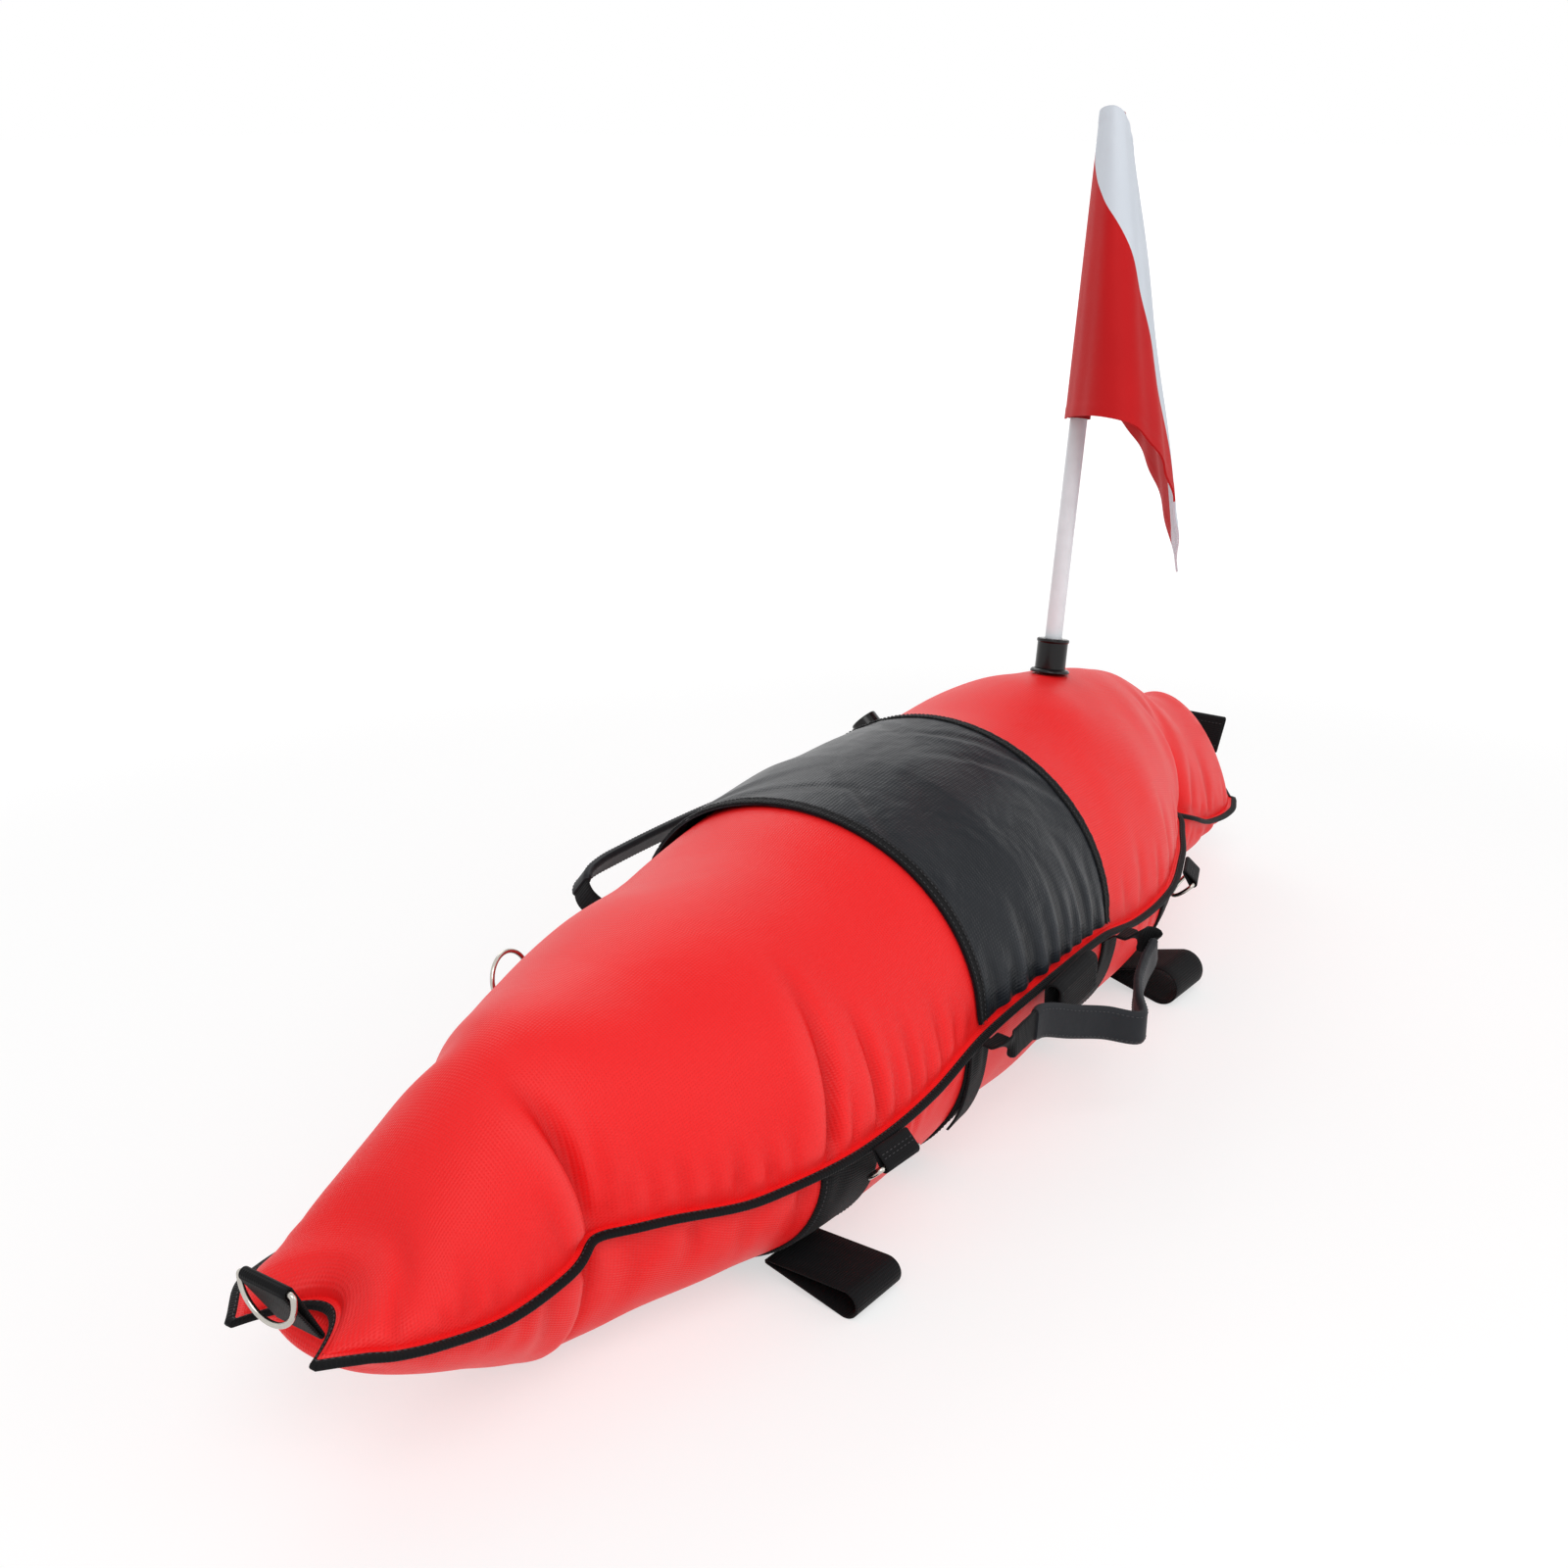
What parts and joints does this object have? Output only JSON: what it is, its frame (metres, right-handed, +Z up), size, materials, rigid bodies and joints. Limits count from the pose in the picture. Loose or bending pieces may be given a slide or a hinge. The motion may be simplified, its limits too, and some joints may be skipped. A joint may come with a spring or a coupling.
{
  "type": "dive flag float",
  "caption": "Inflated torpedo-shaped marker float with a flag on a socketed mast, webbing handles, D rings and belly loops.",
  "frame": {"origin": "on the floor under the middle of the float's bounding box, level with the underside of the belly straps", "axes": "+X towards the stern and the flag, +Y towards the far side, +Z up"},
  "size_m": [1.0983, 0.3978, 0.6552],
  "materials": {
    "red_fabric": "coated woven nylon, slight sheen",
    "black_webbing": "ribbed woven webbing and binding tape",
    "panel_fabric": "coated black cloth with a blue-grey sheen",
    "grip_foam": "soft dark grey neoprene",
    "bladder_film": "grey film",
    "gloss_black": "moulded black plastic",
    "pole_tube": "pale grey translucent plastic tube",
    "flag_cloth": "coated red cloth with a white diagonal stripe",
    "steel": "bent round wire, bright"
  },
  "bodies": {
    "float_bag": {"top_panel": "red_fabric", "bottom_panel": "red_fabric", "seam_binding": "black_webbing", "inner_bladder": "bladder_film", "wear_panel": "panel_fabric", "wear_panel_front_hem": "black_webbing", "wear_panel_rear_hem": "black_webbing", "front_girth_strap": "black_webbing", "rear_girth_strap": "black_webbing", "front_handle_strap": "black_webbing", "rear_handle_strap": "black_webbing", "strap_tail": "black_webbing", "near_side_sleeve": "black_webbing", "far_side_sleeve": "black_webbing", "bow_tab": "black_webbing", "stern_tab": "black_webbing", "front_near_tab": "black_webbing", "front_far_tab": "black_webbing", "rear_near_tab": "black_webbing", "rear_far_tab": "black_webbing", "socket_flange": "gloss_black", "socket_tube": "gloss_black", "valve_flange": "gloss_black", "valve_stem": "gloss_black"},
    "pole": {"flag_pole": "pole_tube", "pole_foot": "gloss_black", "pole_cap": "gloss_black"},
    "flag": {"flag_hoist_sleeve": "flag_cloth", "flag_cloth": "flag_cloth"},
    "near_handle": {"near_handle_webbing": "black_webbing", "near_handle_grip": "grip_foam"},
    "far_handle": {"far_handle_webbing": "black_webbing", "far_handle_grip": "grip_foam"},
    "valve_cap_body": {"valve_cap": "gloss_black"},
    "bow_ring_body": {"bow_ring": "steel"},
    "front_near_ring_body": {"front_near_ring": "steel"},
    "front_far_ring_body": {"front_far_ring": "steel"},
    "rear_near_ring_body": {"rear_near_ring": "steel"},
    "rear_far_ring_body": {"rear_far_ring": "steel"},
    "front_belly_loop_body": {"front_belly_loop": "black_webbing"},
    "rear_belly_loop_body": {"rear_belly_loop": "black_webbing"}
  },
  "joints": [
    {"name": "pole_slide", "type": "slide", "parent": "float_bag", "child": "pole", "axis": [0.2099, 0.0307, 0.9773], "range_m": [0, 0.04]},
    {"name": "flag_swivel", "type": "hinge", "parent": "pole", "child": "flag", "pos_m": [0.272, 0, 0.23251], "axis": [0.2099, 0.0307, 0.9773], "continuous": true},
    {"name": "near_handle_hinge", "type": "hinge", "parent": "float_bag", "child": "near_handle", "pos_m": [0.01, -0.14377, 0.10806], "axis": [-0.9998, -0.0012, 0.0178], "range_deg": [-55, 68]},
    {"name": "far_handle_hinge", "type": "hinge", "parent": "float_bag", "child": "far_handle", "pos_m": [0.01, 0.14377, 0.10806], "axis": [0.9998, -0.0012, -0.0178], "range_deg": [-100, 45]},
    {"name": "bow_ring_hinge", "type": "hinge", "parent": "float_bag", "child": "bow_ring_body", "pos_m": [-0.54072, 0, 0.13986], "axis": [0, 1, 0], "range_deg": [0, 150]},
    {"name": "front_near_ring_hinge", "type": "hinge", "parent": "float_bag", "child": "front_near_ring_body", "pos_m": [-0.20476, -0.14691, 0.08557], "axis": [-0.9948, 0.102, 0], "range_deg": [0, 150]},
    {"name": "front_far_ring_hinge", "type": "hinge", "parent": "float_bag", "child": "front_far_ring_body", "pos_m": [-0.20491, 0.14837, 0.11464], "axis": [0.9948, 0.102, 0], "range_deg": [-150, 60]},
    {"name": "rear_near_ring_hinge", "type": "hinge", "parent": "float_bag", "child": "rear_near_ring_body", "pos_m": [0.28238, -0.12937, 0.08416], "axis": [-0.9503, -0.3113, 0], "range_deg": [0, 150]},
    {"name": "rear_far_ring_hinge", "type": "hinge", "parent": "float_bag", "child": "rear_far_ring_body", "pos_m": [0.28238, 0.12937, 0.08416], "axis": [0.9503, -0.3113, 0], "range_deg": [-40, 120]},
    {"name": "front_belly_loop_hinge", "type": "hinge", "parent": "float_bag", "child": "front_belly_loop_body", "pos_m": [-0.225, -0.08399, 0.01386], "axis": [-0.9976, 0.0698, 0], "range_deg": [-60, 20]},
    {"name": "rear_belly_loop_hinge", "type": "hinge", "parent": "float_bag", "child": "rear_belly_loop_body", "pos_m": [0.245, -0.08399, 0.01347], "axis": [-0.9976, 0.0698, 0], "range_deg": [-60, 10]},
    {"name": "valve_cap_pull", "type": "slide", "parent": "float_bag", "child": "valve_cap_body", "axis": [0.0086, 0.7188, 0.6951], "range_m": [0, 0.015]}
  ]
}
